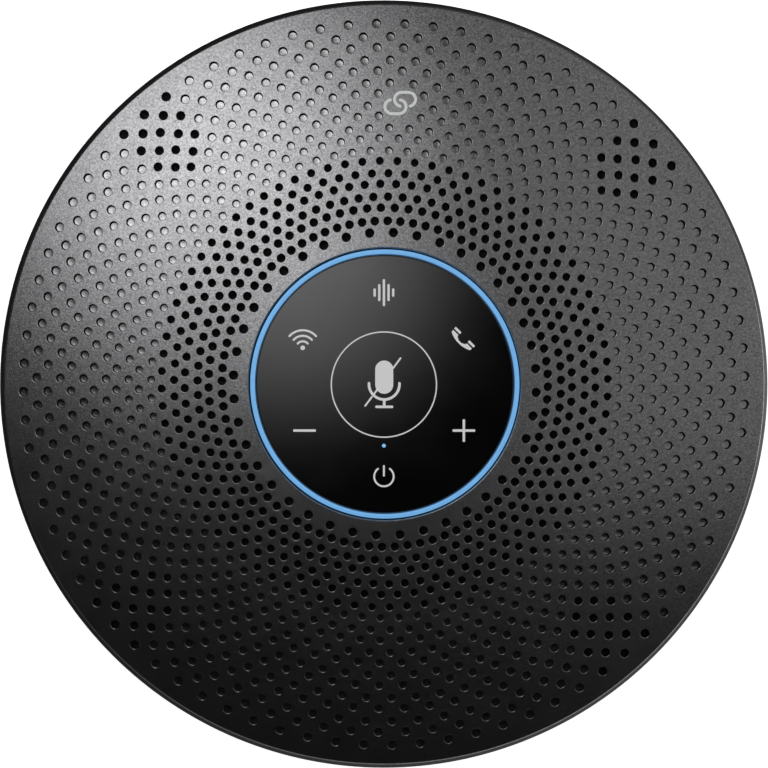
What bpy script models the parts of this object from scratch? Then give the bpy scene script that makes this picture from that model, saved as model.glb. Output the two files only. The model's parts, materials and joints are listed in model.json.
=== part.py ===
"""Conference speakerphone: a low round unit with a perforated domed grille, a glossy touch panel
inside a light ring, four microphones, one loudspeaker, two cells and two ports at the back.

Lengths in this script are millimetres, and MM turns them into the scene's metres. +Z is up, the
foot stands on z = 0, +Y points to the ports at the back, and the loudspeaker lies on the Z axis.
Every object is one closed solid. Neighbouring solids keep a gap of about 0.3 mm.
"""

import math

import bmesh
import bpy
from mathutils import Matrix, Vector

MM = 0.001
MERGE_M = 0.00001
SHARP_DEG = 35.0

# Roundness of the turned parts, in sides.
SIDES_LARGE = 48
SIDES_MEDIUM = 24
SIDES_SMALL = 12

# Whole unit
OUTER_R = 62.5
RING_CREST_Z = 36.0
UNDERSIDE_Z = 0.8

# Domed grille
GRILLE_R = 61.8
GRILLE_WALL = 1.6
GRILLE_FILLET = 0.3
GRILLE_INNER_FILLET = 0.2
GRILLE_SKIRT_Z = 27.6
DOME_APEX_Z = 36.2
DOME_SAG = 5.0
DOME_SAG_R = 60.0
DOME_R = (DOME_SAG_R**2 + DOME_SAG**2) / (2 * DOME_SAG)
DOME_CENTRE_Z = DOME_APEX_Z - DOME_R
PANEL_HOLE_R = 22.2
HOLE_RING_R = 24.7
HOLE_COUNT = 40
HOLE_R = 0.75
PATTERN_TURN_DEG = -3.27
SOUND_FIELD_R = 37.8

# Bowl-shaped lower housing
BASE_R = 46.0
BOWL_TOP_Z = 25.5
BOWL_WALL = 2.0
LIP_Z = 27.2
LIP_CHAMFER = 0.7
LIP_INNER_R = 60.5
FOOT_R = (38.0, 44.0)
FOOT_TOP_Z = 1.6
LABEL_R = 24.0
LABEL_Z = (0.85, 1.0)
GAP = 0.3

# Fasteners and their places
POST_PLACES = [(x, y) for x in (-16.5, 16.5) for y in (-28.6, 28.6)]
POST_R = 3.2
POST_FOOT_Z = 12.3
BOSS_R = 4.2
COUNTERBORE_R = 2.9
COUNTERBORE_Z = 4.4
EAR_PLACE_R = 28.3
EAR_ANGLES = (30, 150, 210, 330)
EAR_R = 2.9
PANEL_SCREW_R = 12.8
PANEL_SCREW_ANGLES = (30, 150, 270)

# Touch panel stack
LENS_R = 20.95
LENS_Z = (34.6, 35.8)
LIGHT_RING_R = (21.15, 21.95)
LIGHT_FLANGE_R = 19.6
LIGHT_RING_Z = (32.95, 34.25)
TOUCH_BOARD_R = 19.3
TOUCH_BOARD_Z = (33.3, 34.3)
LED_BOARD_R = (18.3, 21.9)
LED_BOARD_Z = (31.3, 32.3)
LED_COUNT = 12
CARRIER_R = 23.4
CARRIER_Z = (29.5, 31.0)
CARRIER_RIM_Z = 33.0

# Baffle frame
BAFFLE_R = (24.0, 59.6)
BAFFLE_Z = (25.5, 27.0)
CHAMBER_WALL_R = (38.2, 39.4)
CHAMBER_WALL_Z = 31.9
HUB_R = (10.0, 15.5)
HUB_Z = (27.6, 29.2)
SPOKE_ANGLES = (90, 210, 330)

# Loudspeaker
CONE_TRAVEL_REST_Z = 18.7
FLANGE_R = 26.2
FLANGE_Z = (23.1, 24.3)
BASKET_FLOOR_Z = (13.95, 14.95)
POLE_R = 5.7
COIL_R = (6.05, 6.6)
PLATE_R = (6.9, 14.5)
MAGNET_R = (8.6, 16.0)
SURROUND_ROLL_R = (18.9, 22.0)
SURROUND_ROLL = 1.5
SPIDER_R = (6.9, 16.8)
SPIDER_Z = 16.65
SPIDER_RIPPLES_R = (8, 15)
SPIDER_RIPPLE = 0.3

# Electronics
BOARD_R = 46.0
BOARD_Z = (3.8, 5.0)
PORT_BOARD_Z = (9.6, 10.6)
PORT_X = 6.5
PORT_FACE_Y = 57.2
POCKET_Z = 12.7
POCKET_SIZE = (29.0, 8.0)
CONNECTOR_FRONT_Y = 56.9
USB_SIZE = (9.0, 3.2)
USB_Z = 12.5
JACK_Z = 12.9
JACK_NOSE_R = 2.5
MIC_PLACE_R = 51.0
MIC_ANGLES = [45 + PATTERN_TURN_DEG + 90 * k for k in range(4)]
MIC_FLEX_R = (43.6, 46.0)
MIC_FLEX_Z = (27.3, 27.6)

# Cells
CELL_R = 9.2
CELL_LENGTH = 65.0
CELL_X = 37.0
CELL_Z = 16.0

# name: (red, green, blue), roughness, metallic
FINISHES = {
    "grille_paint": ((0.045, 0.045, 0.048), 0.38, 0.55),
    "housing_plastic": ((0.018, 0.018, 0.02), 0.45, 0.0),
    "frame_plastic": ((0.03, 0.03, 0.03), 0.6, 0.0),
    "lens_gloss": ((0.004, 0.004, 0.005), 0.06, 0.0),
    "light_guide": ((0.12, 0.38, 0.78), 0.3, 0.0),
    "board_green": ((0.015, 0.09, 0.045), 0.45, 0.0),
    "chip_black": ((0.02, 0.02, 0.022), 0.5, 0.0),
    "tin_plate": ((0.62, 0.62, 0.6), 0.3, 1.0),
    "steel": ((0.5, 0.5, 0.5), 0.32, 1.0),
    "zinc_plate": ((0.55, 0.55, 0.52), 0.35, 1.0),
    "ferrite": ((0.05, 0.05, 0.055), 0.7, 0.2),
    "paper_cone": ((0.02, 0.02, 0.02), 0.85, 0.0),
    "rubber": ((0.02, 0.02, 0.02), 0.8, 0.0),
    "copper": ((0.7, 0.3, 0.14), 0.35, 1.0),
    "spider_cloth": ((0.55, 0.36, 0.14), 0.9, 0.0),
    "acoustic_cloth": ((0.008, 0.008, 0.008), 0.95, 0.0),
    "foam": ((0.03, 0.03, 0.03), 0.95, 0.0),
    "flex_film": ((0.03, 0.026, 0.022), 0.4, 0.0),
    "cell_wrap": ((0.05, 0.16, 0.42), 0.35, 0.0),
    "label_film": ((0.05, 0.05, 0.052), 0.5, 0.0),
    "wire_red": ((0.5, 0.02, 0.02), 0.5, 0.0),
    "wire_black": ((0.015, 0.015, 0.015), 0.5, 0.0),
}


def clear_scene():
    """Remove every object, and the collections that held them."""
    for obj in list(bpy.data.objects):
        bpy.data.objects.remove(obj, do_unlink=True)
    for collection in list(bpy.data.collections):
        bpy.data.collections.remove(collection)


def new_collection(name):
    collection = bpy.data.collections.new(name)
    bpy.context.scene.collection.children.link(collection)
    return collection


def material_of(name):
    """The Principled material of one finish, made the first time it is asked for."""
    material = bpy.data.materials.get(name)
    if material:
        return material
    colour, roughness, metallic = FINISHES[name]
    material = bpy.data.materials.new(name)
    material.use_nodes = True
    shader = material.node_tree.nodes["Principled BSDF"]
    shader.inputs["Base Color"].default_value = (*colour, 1.0)
    shader.inputs["Roughness"].default_value = roughness
    shader.inputs["Metallic"].default_value = metallic
    return material


def add_object(name, data, finish=None, place=(0, 0, 0)):
    """Put an object among the parts, or among the hidden cutters when it has no finish."""
    obj = bpy.data.objects.new(name, data)
    obj.location = Vector(place) * MM
    if finish:
        data.materials.append(material_of(finish))
        bpy.data.collections["conference_speakerphone"].objects.link(obj)
    else:
        obj.hide_render = True
        obj.display_type = "WIRE"
        bpy.data.collections["cutters"].objects.link(obj)
    return obj


def mesh_of(name, bm):
    """The mesh of a bmesh that was drawn in millimetres."""
    bmesh.ops.scale(bm, vec=(MM, MM, MM), verts=bm.verts)
    mesh = bpy.data.meshes.new(name)
    bm.to_mesh(mesh)
    bm.free()
    return mesh


def turned(name, profile, sides, finish=None, place=(0, 0, 0)):
    """A shape turned about Z. The profile's (radius, z) points run down its outer side. It is a
    closed loop, or a line from the axis to the axis."""
    mesh = bpy.data.meshes.new(name)
    count = len(profile)
    on_axis = profile[0][0] == 0
    edges = [(i, (i + 1) % count) for i in range(count - 1 if on_axis else count)]
    mesh.from_pydata([(r * MM, 0, z * MM) for r, z in profile], edges, [])
    obj = add_object(name, mesh, finish, place)
    screw = obj.modifiers.new("turn", "SCREW")
    screw.steps = screw.render_steps = sides
    screw.use_merge_vertices = True
    screw.merge_threshold = MERGE_M
    return obj


def ring(name, radii, heights, sides, finish=None):
    """A flat ring with a rectangular section."""
    (inner, outer), (low, high) = radii, heights
    return turned(name, [(inner, high), (outer, high), (outer, low), (inner, low)], sides, finish)


def disc(name, radius, heights, sides, finish=None, place=(0, 0, 0)):
    low, high = heights
    return turned(name, [(0, high), (radius, high), (radius, low), (0, low)], sides, finish, place)


def boxes(name, corners, finish=None, turns=None):
    """One mesh of boxes, each from its low to its high corner, then turned about Z by its angle."""
    bm = bmesh.new()
    for (low, high), angle in zip(corners, turns or [0] * len(corners)):
        size = Vector(high) - Vector(low)
        middle = (Vector(high) + Vector(low)) / 2
        turn = Matrix.Rotation(math.radians(angle), 4, "Z")
        matrix = turn @ Matrix.Translation(middle) @ Matrix.Diagonal((*size, 1))
        bmesh.ops.create_cube(bm, size=1, matrix=matrix)
    return add_object(name, mesh_of(name, bm), finish)


def box(name, low, high, finish=None):
    return boxes(name, [(low, high)], finish)


def cylinders(name, places, radius, heights, sides, finish=None):
    """One mesh of upright cylinders at the given (x, y) places."""
    bm = bmesh.new()
    low, high = heights
    for x, y in places:
        bmesh.ops.create_cone(
            bm,
            cap_ends=True,
            segments=sides,
            radius1=radius,
            radius2=radius,
            depth=high - low,
            matrix=Matrix.Translation((x, y, (low + high) / 2)),
        )
    return add_object(name, mesh_of(name, bm), finish)


def lying_cylinder(name, radius, start_y, end_y, x, z, sides, finish=None):
    """A cylinder along Y."""
    bm = bmesh.new()
    lay = Matrix.Translation((x, (start_y + end_y) / 2, z)) @ Matrix.Rotation(math.pi / 2, 4, "X")
    bmesh.ops.create_cone(
        bm,
        cap_ends=True,
        segments=sides,
        radius1=radius,
        radius2=radius,
        depth=end_y - start_y,
        matrix=lay,
    )
    return add_object(name, mesh_of(name, bm), finish)


def stadium(name, size, corner, ys, x, z, finish=None):
    """A box along Y whose upright outline has round corners, as ports and pockets have."""
    width, height = size
    bm = bmesh.new()
    middle = ((ys[0] + ys[1]) / 2, ys[1] - ys[0])
    matrix = Matrix.Translation((x, middle[0], z)) @ Matrix.Diagonal((width, middle[1], height, 1))
    bmesh.ops.create_cube(bm, size=1, matrix=matrix)
    along_y = [e for e in bm.edges if abs(e.verts[0].co.y - e.verts[1].co.y) > middle[1] / 2]
    bmesh.ops.bevel(bm, geom=along_y, offset=corner, segments=4, profile=0.5, affect="EDGES")
    return add_object(name, mesh_of(name, bm), finish)


def ribbon(name, path, width, thickness, finish, x=0):
    """A flat flexible cable, drawn as an open strip along its (y, z) path and then thickened."""
    points = [((x + side * width / 2) * MM, y * MM, z * MM) for y, z in path for side in (-1, 1)]
    faces = [(2 * i, 2 * i + 1, 2 * i + 3, 2 * i + 2) for i in range(len(path) - 1)]
    mesh = bpy.data.meshes.new(name)
    mesh.from_pydata(points, [], faces)
    obj = add_object(name, mesh, finish)
    thicken = obj.modifiers.new("thicken", "SOLIDIFY")
    thicken.thickness = thickness * MM
    thicken.offset = 0
    thicken.use_even_offset = True
    return obj


def wire(name, points, radius, finish):
    """A round insulated wire through the given points."""
    curve = bpy.data.curves.new(name, "CURVE")
    curve.dimensions = "3D"
    curve.bevel_depth = radius * MM
    curve.bevel_resolution = 1
    curve.use_fill_caps = True
    spline = curve.splines.new("POLY")
    spline.points.add(len(points) - 1)
    for point, place in zip(spline.points, points):
        point.co = (*(Vector(place) * MM), 1)
    return add_object(name, curve, finish)


def combine(obj, other, operation="DIFFERENCE"):
    """Cut the other shape from this one, or join it on."""
    boolean = obj.modifiers.new(operation.lower(), "BOOLEAN")
    boolean.operation = operation
    boolean.object = other


def polar(radius, degrees):
    angle = math.radians(degrees)
    return radius * math.cos(angle), radius * math.sin(angle)


def steps_between(start, end, count):
    return [start + (end - start) * i / (count - 1) for i in range(count)]


def sheet_profile(middle, radii, thickness):
    """The closed profile of a thin turned sheet around its middle line."""
    top = [(r, middle(r) + thickness / 2) for r in radii]
    bottom = [(r, middle(r) - thickness / 2) for r in reversed(radii)]
    return top + bottom


def dome_z(radius, depth=0.0):
    """Height of the dome at this radius, or of the surface this deep under it."""
    return DOME_CENTRE_Z + math.sqrt((DOME_R - depth) ** 2 - radius**2)


def dome_edge(side_r, depth, fillet, count):
    """The rounded edge that leads from the dome to an upright side."""
    centre_r = side_r - fillet
    centre_z = DOME_CENTRE_Z + math.sqrt((DOME_R - depth - fillet) ** 2 - centre_r**2)
    start = math.degrees(math.atan2(centre_z - DOME_CENTRE_Z, centre_r))
    turns = [polar(fillet, a) for a in steps_between(start, 0, count)]
    return [(centre_r + r, centre_z + z) for r, z in turns]


def bowl(inset, start_deg, end_deg, count):
    """The elliptical side of the bowl, from its top (0 degrees) to its base (90 degrees)."""
    reach_r = OUTER_R - BASE_R - inset
    reach_z = BOWL_TOP_Z - UNDERSIDE_Z - inset
    angles = [math.radians(a) for a in steps_between(start_deg, end_deg, count)]
    return [(BASE_R + reach_r * math.cos(a), BOWL_TOP_Z - reach_z * math.sin(a)) for a in angles]


def screw_part(name, place, head_r, shank_r, heights, head_up):
    """A pan-head screw. heights are its free end, the seat under its head and its head's face."""
    end, seat, face = heights
    profile = [(0, face), (head_r, face), (head_r, seat), (shank_r, seat), (shank_r, end), (0, end)]
    if not head_up:
        profile.reverse()
    return turned(name, profile, SIDES_SMALL, "zinc_plate", (*place, 0))


def make_grille():
    """The painted dome with its panel opening, a ring of sound holes and four microphone holes."""
    top = [(r, dome_z(r)) for r in steps_between(PANEL_HOLE_R, 56, 4)]
    edge = dome_edge(GRILLE_R, 0, GRILLE_FILLET, 4)
    inner_r = GRILLE_R - GRILLE_WALL
    skirt = [(GRILLE_R, GRILLE_SKIRT_Z), (inner_r, GRILLE_SKIRT_Z)]
    inside = dome_edge(inner_r, GRILLE_WALL, GRILLE_INNER_FILLET, 2)[::-1]
    under = [(r, dome_z(r, GRILLE_WALL)) for r in steps_between(42, PANEL_HOLE_R, 2)]
    grille = turned("top_grille", top + edge + skirt + inside + under, SIDES_LARGE, "grille_paint")
    pitch = 360 / HOLE_COUNT
    holes = [polar(HOLE_RING_R, 90 + PATTERN_TURN_DEG + pitch * k) for k in range(HOLE_COUNT)]
    holes += [polar(MIC_PLACE_R, angle) for angle in MIC_ANGLES]
    combine(grille, cylinders("grille_holes", holes, HOLE_R, (28.5, 38), 6))
    cloth_depth = GRILLE_WALL + GAP + 0.15
    radii = steps_between(HOLE_RING_R - 0.8, SOUND_FIELD_R, 2)
    profile = sheet_profile(lambda r: dome_z(r, cloth_depth), radii, 0.3)
    turned("acoustic_cloth", profile, SIDES_MEDIUM, "acoustic_cloth")


def make_lower_housing():
    """The bowl with its lip, foot groove, label recess, screw bosses and port pocket."""
    inside = [(0, UNDERSIDE_Z + BOWL_WALL)] + bowl(BOWL_WALL, 90, 0, 5)
    lip = [(LIP_INNER_R, LIP_Z), (OUTER_R - LIP_CHAMFER, LIP_Z), (OUTER_R, LIP_Z - LIP_CHAMFER)]
    outside = bowl(0, 0, 90, 8)
    groove_r = (FOOT_R[0] - GAP, FOOT_R[1] + GAP)
    groove_z = FOOT_TOP_Z + GAP
    groove = [
        (groove_r[1], UNDERSIDE_Z),
        (groove_r[1], groove_z),
        (groove_r[0], groove_z),
        (groove_r[0], UNDERSIDE_Z),
    ]
    recess_r, recess_z = LABEL_R + GAP, LABEL_Z[1] + GAP
    recess = [(recess_r, UNDERSIDE_Z), (recess_r, recess_z), (0, recess_z)]
    profile = inside + lip + outside + groove + recess
    housing = turned("lower_housing", profile, SIDES_LARGE, "housing_plastic")

    bosses = cylinders("housing_bosses", POST_PLACES, BOSS_R, (2.0, POST_FOOT_Z - GAP), 16)
    combine(housing, bosses, "UNION")
    pad = box("port_pad", (-17, PORT_FACE_Y - 1.8, 6.6), (17, OUTER_R, 18.8))
    core = turned(
        "bowl_core",
        [(0, BOWL_TOP_Z)] + bowl(1.0, 0, 90, 8) + [(0, UNDERSIDE_Z + 1.0)],
        SIDES_LARGE,
    )
    combine(pad, core, "INTERSECT")
    combine(housing, pad, "UNION")

    combine(housing, cylinders("counterbores", POST_PLACES, COUNTERBORE_R, (0, COUNTERBORE_Z), 16))
    combine(housing, cylinders("boss_bores", POST_PLACES, 1.5, (1, 14), SIDES_SMALL))
    pocket = stadium("port_pocket", POCKET_SIZE, 3.9, (PORT_FACE_Y, OUTER_R + 4), 0, POCKET_Z)
    combine(housing, pocket)
    usb_opening = (USB_SIZE[0] + 2 * GAP, USB_SIZE[1] + 2 * GAP)
    depth = (PORT_FACE_Y - 4, PORT_FACE_Y + 2)
    combine(housing, stadium("usb_opening", usb_opening, 1.85, depth, -PORT_X, USB_Z))
    jack_opening = JACK_NOSE_R + GAP
    combine(housing, lying_cylinder("jack_opening", jack_opening, *depth, PORT_X, JACK_Z, 16))


def make_underside():
    """The rubber foot, the blank label and the screws that close the housing."""
    ring("foot_ring", FOOT_R, (0, FOOT_TOP_Z), SIDES_LARGE, "rubber")
    disc("rating_label", LABEL_R, LABEL_Z, SIDES_MEDIUM, "label_film")
    for number, place in enumerate(POST_PLACES, 1):
        heights = (20.0, COUNTERBORE_Z - GAP, 2.2)
        screw_part(f"housing_screw_{number}", place, 2.5, 1.15, heights, head_up=False)


def make_panel():
    """The touch lens, the light ring round it, and the boards and carrier behind them."""
    bevel = 0.15
    lens = [
        (0, LENS_Z[1]),
        (LENS_R - bevel, LENS_Z[1]),
        (LENS_R, LENS_Z[1] - bevel),
        (LENS_R, LENS_Z[0]),
        (0, LENS_Z[0]),
    ]
    turned("touch_lens", lens, SIDES_LARGE, "lens_gloss")
    inner, outer = LIGHT_RING_R
    low, step = LIGHT_RING_Z
    light = [
        (inner, RING_CREST_Z),
        (outer, RING_CREST_Z),
        (outer, low),
        (LIGHT_FLANGE_R, low),
        (LIGHT_FLANGE_R, step),
        (inner, step),
    ]
    turned("light_ring", light, SIDES_LARGE, "light_guide")
    disc("touch_board", TOUCH_BOARD_R, TOUCH_BOARD_Z, SIDES_MEDIUM, "board_green")

    led_board = ring("led_board", LED_BOARD_R, LED_BOARD_Z, SIDES_MEDIUM, "board_green")
    top = LED_BOARD_Z[1]
    led = ((19.6, -0.8, top - 0.2), (21.2, 0.8, top + 0.35))
    leds = boxes("leds", [led] * LED_COUNT, turns=[360 / LED_COUNT * k for k in range(LED_COUNT)])
    combine(led_board, leds, "UNION")

    floor_z, floor_top = CARRIER_Z
    wall_r = LIGHT_RING_R[1] + 0.35
    carrier = turned(
        "panel_carrier",
        [
            (0, floor_top),
            (wall_r, floor_top),
            (wall_r, CARRIER_RIM_Z),
            (CARRIER_R, CARRIER_RIM_Z),
            (CARRIER_R, floor_z),
            (0, floor_z),
        ],
        SIDES_LARGE,
        "frame_plastic",
    )
    places = [polar(PANEL_SCREW_R, angle) for angle in PANEL_SCREW_ANGLES]
    combine(carrier, cylinders("carrier_bores", places, 1.3, (29, 32), SIDES_SMALL))
    combine(carrier, box("ribbon_window", (-3.6, -17.9, 29), (3.6, -16.3, 32)))
    for number, place in enumerate(places, 1):
        heights = (HUB_Z[0] + 0.2, floor_top + GAP, floor_top + GAP + 0.9)
        screw_part(f"panel_screw_{number}", place, 1.9, 1.0, heights, head_up=True)
    path = [(-17.1, 33.0), (-17.1, 28.9), (-31.0, 28.4), (-31.0, 6.8)]
    ribbon("touch_ribbon", path, 6.0, 0.3, "flex_film")


def make_baffle():
    """The frame that carries the loudspeaker, the panel hub and the posts for the housing screws."""
    (inner, outer), (low, high) = BAFFLE_R, BAFFLE_Z
    wall_in, wall_out = CHAMBER_WALL_R
    profile = [
        (inner, high),
        (wall_in, high),
        (wall_in, CHAMBER_WALL_Z),
        (wall_out, CHAMBER_WALL_Z),
        (wall_out, high),
        (outer, high),
        (outer, low),
        (inner, low),
    ]
    baffle = turned("baffle_frame", profile, SIDES_LARGE, "frame_plastic")
    posts = cylinders("baffle_posts", POST_PLACES, POST_R, (POST_FOOT_Z, high - 0.5), 16)
    combine(baffle, posts, "UNION")
    ears = [polar(EAR_PLACE_R, angle) for angle in EAR_ANGLES]
    combine(baffle, cylinders("ear_bosses", ears, 2.6, (low + 0.5, 29.2), 12), "UNION")
    spoke = ((13.0, -1.6, HUB_Z[0] + 0.2), (26.8, 1.6, HUB_Z[1] - 0.2))
    leg = ((24.6, -1.3, high - 0.5), (26.5, 1.3, HUB_Z[1] - 0.5))
    count = len(SPOKE_ANGLES)
    combine(baffle, boxes("legs", [leg] * count, turns=SPOKE_ANGLES), "UNION")
    combine(baffle, boxes("spokes", [spoke] * count, turns=SPOKE_ANGLES), "UNION")
    combine(baffle, ring("hub", HUB_R, HUB_Z, SIDES_MEDIUM), "UNION")

    combine(baffle, cylinders("post_bores", POST_PLACES, 1.45, (10, 21), SIDES_SMALL))
    combine(baffle, cylinders("ear_pilots", ears, 1.3, (24, 28.8), SIDES_SMALL))
    places = [polar(PANEL_SCREW_R, angle) for angle in PANEL_SCREW_ANGLES]
    combine(baffle, cylinders("hub_bores", places, 1.3, (27, 30), SIDES_SMALL))
    combine(baffle, box("touch_ribbon_slot", (-3.6, -31.8, 25), (3.6, -30.2, 28)))
    combine(baffle, box("mic_flex_slot", (-2.6, -46.2, 25), (2.6, -44.4, 28)))


def make_speaker_chassis():
    """The pressed basket with its windows and ears, its gasket, screws and magnet."""
    low, high = FLANGE_Z
    floor_low, floor_high = BASKET_FLOOR_Z
    ledge_z = floor_high + 1.05
    profile = [
        (22.4, high),
        (FLANGE_R, high),
        (FLANGE_R, low),
        (24.4, low),
        (18.6, 16.0),
        (16.4, floor_low),
        (7.6, floor_low),
        (7.6, floor_high),
        (15.0, floor_high),
        (15.0, ledge_z),
        (17.6, ledge_z),
        (22.4, 22.2),
    ]
    frame = turned("speaker_frame", profile, SIDES_MEDIUM, "steel")
    ears = [polar(EAR_PLACE_R, angle) for angle in EAR_ANGLES]
    combine(frame, cylinders("frame_ears", ears, EAR_R, FLANGE_Z, 12), "UNION")
    combine(frame, cylinders("frame_ear_holes", ears, 1.3, (22, 25), SIDES_SMALL))
    window = ((16.5, -7.0, 17.3), (26.0, 7.0, 21.8))
    combine(frame, boxes("frame_windows", [window] * 4, turns=(0, 90, 180, 270)))
    for number, place in enumerate(ears, 1):
        heights = (28.4, low - GAP, low - GAP - 1.2)
        screw_part(f"speaker_screw_{number}", place, 2.1, 1.0, heights, head_up=False)
    ring("speaker_gasket", (23.5, 26.0), (24.6, 25.2), SIDES_MEDIUM, "foam")

    pole_top = BASKET_FLOOR_Z[0] - GAP
    ring("front_plate", PLATE_R, (12.0, pole_top), SIDES_MEDIUM, "steel")
    ring("speaker_magnet", MAGNET_R, (8.1, 11.7), SIDES_MEDIUM, "ferrite")
    yoke = [(0, pole_top), (POLE_R, pole_top), (POLE_R, 7.8), (15, 7.8), (15, 6.2), (0, 6.2)]
    turned("pole_yoke", yoke, SIDES_MEDIUM, "steel")


def cone_middle(radius):
    """Middle line of the straight-sided cone, from its neck to its rim."""
    return 18.95 + (radius - 6.9) * 0.43


def surround_middle(radius):
    """Middle line of the surround: flat lips with a half roll between them."""
    inner, outer = SURROUND_ROLL_R
    part = min(max((radius - inner) / (outer - inner), 0), 1)
    return 24.75 + SURROUND_ROLL * math.sin(math.pi * part)


def spider_middle(radius):
    """Middle line of the spider: one ripple a millimetre between two flat edges."""
    ripple = round(radius - SPIDER_RIPPLES_R[0])
    last = SPIDER_RIPPLES_R[1] - SPIDER_RIPPLES_R[0]
    return SPIDER_Z + (SPIDER_RIPPLE * (-1) ** ripple if 0 < ripple < last else 0)


def make_cone():
    """The cone, dust cap and voice coil, which move together, and the two parts that hold them."""
    axis = bpy.data.objects.new("cone_axis", None)
    axis.location = (0, 0, CONE_TRAVEL_REST_Z * MM)
    bpy.data.collections["conference_speakerphone"].objects.link(axis)

    rim = [(18.6, 24.2), (18.6, 23.9)]
    neck_r = SPIDER_R[0]
    top = [(neck_r, cone_middle(neck_r) + 0.25), (18.0, 24.2)]
    bottom = [(18.0, 23.5), (neck_r, cone_middle(neck_r) - 0.25)]
    cone = turned("speaker_cone", top + rim + bottom, SIDES_MEDIUM, "paper_cone")
    cap_r, cap_z, cap_rise = 8.4, 20.5, 2.4
    radii = steps_between(0, cap_r, 4)
    cap_top = [(r, cap_z + cap_rise * (1 - (r / cap_r) ** 2)) for r in radii]
    cap_bottom = [(r, z - 0.4) for r, z in reversed(cap_top)]
    cap = turned("dust_cap", cap_top + cap_bottom, SIDES_MEDIUM, "paper_cone")
    coil = ring("voice_coil", COIL_R, (9.6, 18.6), SIDES_MEDIUM, "copper")
    for piece in (cone, cap, coil):
        piece.parent = axis
        piece.matrix_parent_inverse = Matrix.Translation(-axis.location)

    radii = [17.4] + steps_between(*SURROUND_ROLL_R, 7) + [23.2]
    profile = sheet_profile(surround_middle, radii, 0.3)
    turned("cone_surround", profile, SIDES_MEDIUM, "rubber")
    ripples = range(SPIDER_RIPPLES_R[0], SPIDER_RIPPLES_R[1] + 1)
    radii = [SPIDER_R[0], *ripples, SPIDER_R[1]]
    turned("spider", sheet_profile(spider_middle, radii, 0.3), SIDES_MEDIUM, "spider_cloth")


def make_main_board():
    """The round main board over the housing's floor, and what stands on it."""
    board = disc("main_board", BOARD_R, BOARD_Z, SIDES_LARGE, "board_green")
    combine(board, cylinders("board_holes", POST_PLACES, BOSS_R + 0.4, (3, 6), 16))
    seat = BOARD_Z[1] + GAP
    box("processor_chip", (-4.5, -25.5, seat), (4.5, -16.5, seat + 1), "chip_black")
    box("shield_can", (5, -41.5, seat), (19, -34, seat + 2.2), "tin_plate")
    box("amplifier_chip", (-16, -41, seat), (-10, -35, seat + 1), "chip_black")
    box("ribbon_socket", (-4, -32.5, seat), (4, -29.5, seat + 1.2), "frame_plastic")
    box("board_connector", (-5, 36.5, seat), (5, 39.5, PORT_BOARD_Z[0] - GAP), "frame_plastic")


def make_ports():
    """The port board with its USB-C receptacle and its 3.5 mm jack."""
    box("port_board", (-14.5, 36, PORT_BOARD_Z[0]), (14.5, 53, PORT_BOARD_Z[1]), "board_green")
    back = CONNECTOR_FRONT_Y - 7.3
    shell_ys = (back, CONNECTOR_FRONT_Y)
    usb = stadium("usb_c_receptacle", USB_SIZE, 1.55, shell_ys, -PORT_X, USB_Z, "tin_plate")
    cavity = (USB_SIZE[0] - 0.6, USB_SIZE[1] - 0.6)
    cavity_ys = (back + 1.0, CONNECTOR_FRONT_Y + 1)
    combine(usb, stadium("usb_cavity", cavity, 1.25, cavity_ys, -PORT_X, USB_Z))
    tongue_low = (-PORT_X - 3.35, back + 0.5, USB_Z - 0.35)
    tongue_high = (-PORT_X + 3.35, CONNECTOR_FRONT_Y - 1.2, USB_Z + 0.35)
    combine(usb, box("usb_tongue", tongue_low, tongue_high), "UNION")

    body_y = 54.8
    low, high = PORT_X - 3.1, PORT_X + 3.1
    jack = box("audio_jack", (low, 44, JACK_Z - 2), (high, body_y, JACK_Z + 2), "frame_plastic")
    nose_ys = (body_y - 1, CONNECTOR_FRONT_Y)
    nose = lying_cylinder("jack_nose", JACK_NOSE_R, *nose_ys, PORT_X, JACK_Z, 16)
    combine(jack, nose, "UNION")
    bore_ys = (CONNECTOR_FRONT_Y - 11, CONNECTOR_FRONT_Y + 1)
    combine(jack, lying_cylinder("jack_bore", 1.75, *bore_ys, PORT_X, JACK_Z, 16))


def make_microphones():
    """Four microphone boards, each under a rubber boot, and the flex ring that joins them."""
    for number, angle in enumerate(MIC_ANGLES, 1):
        reach = MIC_PLACE_R
        base = ((reach - 3.5, -3.5, 27.3), (reach + 3.5, 3.5, 28.1))
        board = boxes(f"mic_board_{number}", [base], "board_green", [angle])
        capsule = ((reach - 1.5, -1.1, 28.0), (reach + 1.5, 1.1, 29.0))
        combine(board, boxes(f"mic_capsule_{number}", [capsule], turns=[angle]), "UNION")
        boot = [(0.8, 30.0), (3.2, 30.0), (3.2, 28.4), (2.2, 28.4), (2.2, 29.3), (0.8, 29.3)]
        turned(f"mic_boot_{number}", boot, SIDES_SMALL, "rubber", (*polar(reach, angle), 0))
    flex = ring("mic_flex", MIC_FLEX_R, MIC_FLEX_Z, SIDES_LARGE, "flex_film")
    low, high = MIC_FLEX_Z
    tab = ((MIC_FLEX_R[1] - 0.6, -1.5, low), (MIC_FLEX_R[1] + 1.1, 1.5, high))
    combine(flex, boxes("mic_flex_tabs", [tab] * 4, turns=MIC_ANGLES), "UNION")
    tail = box("mic_flex_tail", (-2, -45.45, 5.4), (2, -45.15, high - 0.05))
    combine(flex, tail, "UNION")


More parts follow.
